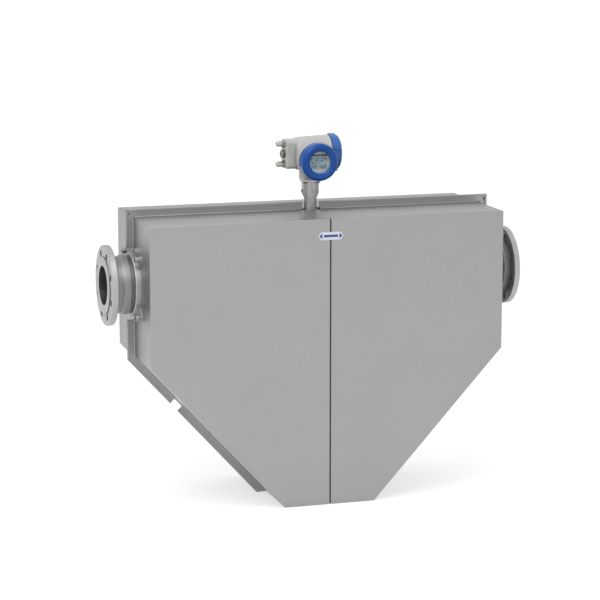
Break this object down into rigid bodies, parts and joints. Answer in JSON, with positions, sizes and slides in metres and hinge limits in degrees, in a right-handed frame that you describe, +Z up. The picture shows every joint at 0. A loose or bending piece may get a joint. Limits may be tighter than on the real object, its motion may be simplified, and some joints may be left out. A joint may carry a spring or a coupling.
{
  "type": "coriolis flow meter",
  "caption": "Flanged coriolis mass flow meter in a V-shaped sheet steel casing, with a signal converter and round display on a neck.",
  "frame": {"origin": "centre of the inlet flange's raised face, on the pipe axis", "axes": "+X along the flow to the outlet flange, +Z up to the converter, -Y out of the display"},
  "size_m": [1.179, 0.3825, 1.0052],
  "materials": {
    "sheet_steel": "satin",
    "machined_steel": "satin",
    "cast_steel": "matte",
    "tube_steel": "satin",
    "screw_steel": "satin",
    "badge_white": "satin",
    "housing_grey": "satin",
    "cover_blue": "gloss",
    "adapter_grey": "matte",
    "seal_rubber": "matte",
    "window_glass": "gloss",
    "display_plastic": "matte",
    "screen_green": "satin",
    "board_green": "matte",
    "insert_black": "matte",
    "terminal_plastic": "matte",
    "coil_copper": "satin",
    "magnet_steel": "satin",
    "gland_metal": "satin",
    "plug_metal": "satin"
  },
  "bodies": {
    "meter": {"front_left_cover": "sheet_steel", "front_right_cover": "sheet_steel", "rear_cover": "sheet_steel", "seam_strip": "sheet_steel", "badge_plate": "badge_white", "inlet_flange": "machined_steel", "outlet_flange": "machined_steel", "inlet_collar": "cast_steel", "outlet_collar": "cast_steel", "inlet_collar_screws": "screw_steel", "outlet_collar_screws": "screw_steel", "inlet_collar_nuts": "screw_steel", "outlet_collar_nuts": "screw_steel", "inlet_splitter": "cast_steel", "outlet_splitter": "cast_steel", "front_measuring_tube": "tube_steel", "rear_measuring_tube": "tube_steel", "inlet_brace_plates": "tube_steel", "outlet_brace_plates": "tube_steel", "support_channel": "tube_steel", "drive_coil": "coil_copper", "drive_magnet": "magnet_steel", "inlet_pickoff_coil": "coil_copper", "inlet_pickoff_magnet": "magnet_steel", "outlet_pickoff_coil": "coil_copper", "outlet_pickoff_magnet": "magnet_steel", "temperature_sensor": "magnet_steel", "wiring_board": "board_green", "neck_tube": "tube_steel", "neck_sleeve": "seal_rubber"},
    "converter": {"converter_housing": "housing_grey", "neck_adapter": "adapter_grey", "neck_adapter_screws": "screw_steel", "neck_lock_screw": "screw_steel", "electronics_module": "insert_black", "display_module": "display_plastic", "display_screen": "screen_green", "display_cover_seal": "seal_rubber", "electronics_insert": "insert_black", "terminal_strip": "terminal_plastic", "upper_gland_body": "gland_metal", "lower_gland_body": "gland_metal"},
    "display_window": {"display_glass": "window_glass"},
    "display_cover": {"display_cover_ring": "cover_blue"},
    "terminal_seal": {"terminal_cover_seal": "seal_rubber"},
    "terminal_cover": {"terminal_cover": "cover_blue"},
    "upper_gland_seal": {"upper_gland_seal": "seal_rubber"},
    "upper_gland_nut": {"upper_gland_nut": "gland_metal"},
    "lower_gland_seal": {"lower_gland_seal": "seal_rubber"},
    "lower_gland_nut": {"lower_gland_nut": "gland_metal"},
    "blind_plug_seal": {"blind_plug_seal": "seal_rubber"},
    "blind_plug": {"blind_plug": "plug_metal"}
  },
  "joints": [
    {"name": "head_turn", "type": "hinge", "parent": "meter", "child": "converter", "pos_m": [0.5895, 0, 0.251], "axis": [0, 0, 1], "range_deg": [-170, 170]},
    {"name": "display_cover_travel", "type": "slide", "parent": "converter", "child": "display_window", "axis": [0, -1, 0], "range_m": [0, 0.0105]},
    {"name": "display_cover_turn", "type": "hinge", "parent": "display_window", "child": "display_cover", "pos_m": [0.5895, -0.08, 0.325], "axis": [0, -1, 0], "range_deg": [0, 2520]},
    {"name": "terminal_cover_travel", "type": "slide", "parent": "converter", "child": "terminal_seal", "axis": [1, 0, 0], "range_m": [0, 0.0105]},
    {"name": "terminal_cover_turn", "type": "hinge", "parent": "terminal_seal", "child": "terminal_cover", "pos_m": [0.6495, 0, 0.341], "axis": [1, 0, 0], "range_deg": [0, 2520]},
    {"name": "upper_gland_travel", "type": "slide", "parent": "converter", "child": "upper_gland_seal", "axis": [-1, 0, 0], "range_m": [0, 0.0075]},
    {"name": "upper_gland_turn", "type": "hinge", "parent": "upper_gland_seal", "child": "upper_gland_nut", "pos_m": [0.4995, 0, 0.369], "axis": [-1, 0, 0], "range_deg": [0, 1800]},
    {"name": "lower_gland_travel", "type": "slide", "parent": "converter", "child": "lower_gland_seal", "axis": [-1, 0, 0], "range_m": [0, 0.0075]},
    {"name": "lower_gland_turn", "type": "hinge", "parent": "lower_gland_seal", "child": "lower_gland_nut", "pos_m": [0.4995, 0, 0.313], "axis": [-1, 0, 0], "range_deg": [0, 1800]},
    {"name": "blind_plug_travel", "type": "slide", "parent": "converter", "child": "blind_plug_seal", "axis": [-1, 0, 0], "range_m": [0, 0.0075]},
    {"name": "blind_plug_turn", "type": "hinge", "parent": "blind_plug_seal", "child": "blind_plug", "pos_m": [0.5095, 0, 0.341], "axis": [-1, 0, 0], "range_deg": [0, 1800]}
  ],
  "couplings": [
    {"joint": "display_cover_travel", "follows": "display_cover_turn", "m_per_rad": 0.00023873},
    {"joint": "terminal_cover_travel", "follows": "terminal_cover_turn", "m_per_rad": 0.00023873},
    {"joint": "upper_gland_travel", "follows": "upper_gland_turn", "m_per_rad": 0.00023873},
    {"joint": "lower_gland_travel", "follows": "lower_gland_turn", "m_per_rad": 0.00023873},
    {"joint": "blind_plug_travel", "follows": "blind_plug_turn", "m_per_rad": 0.00023873}
  ]
}
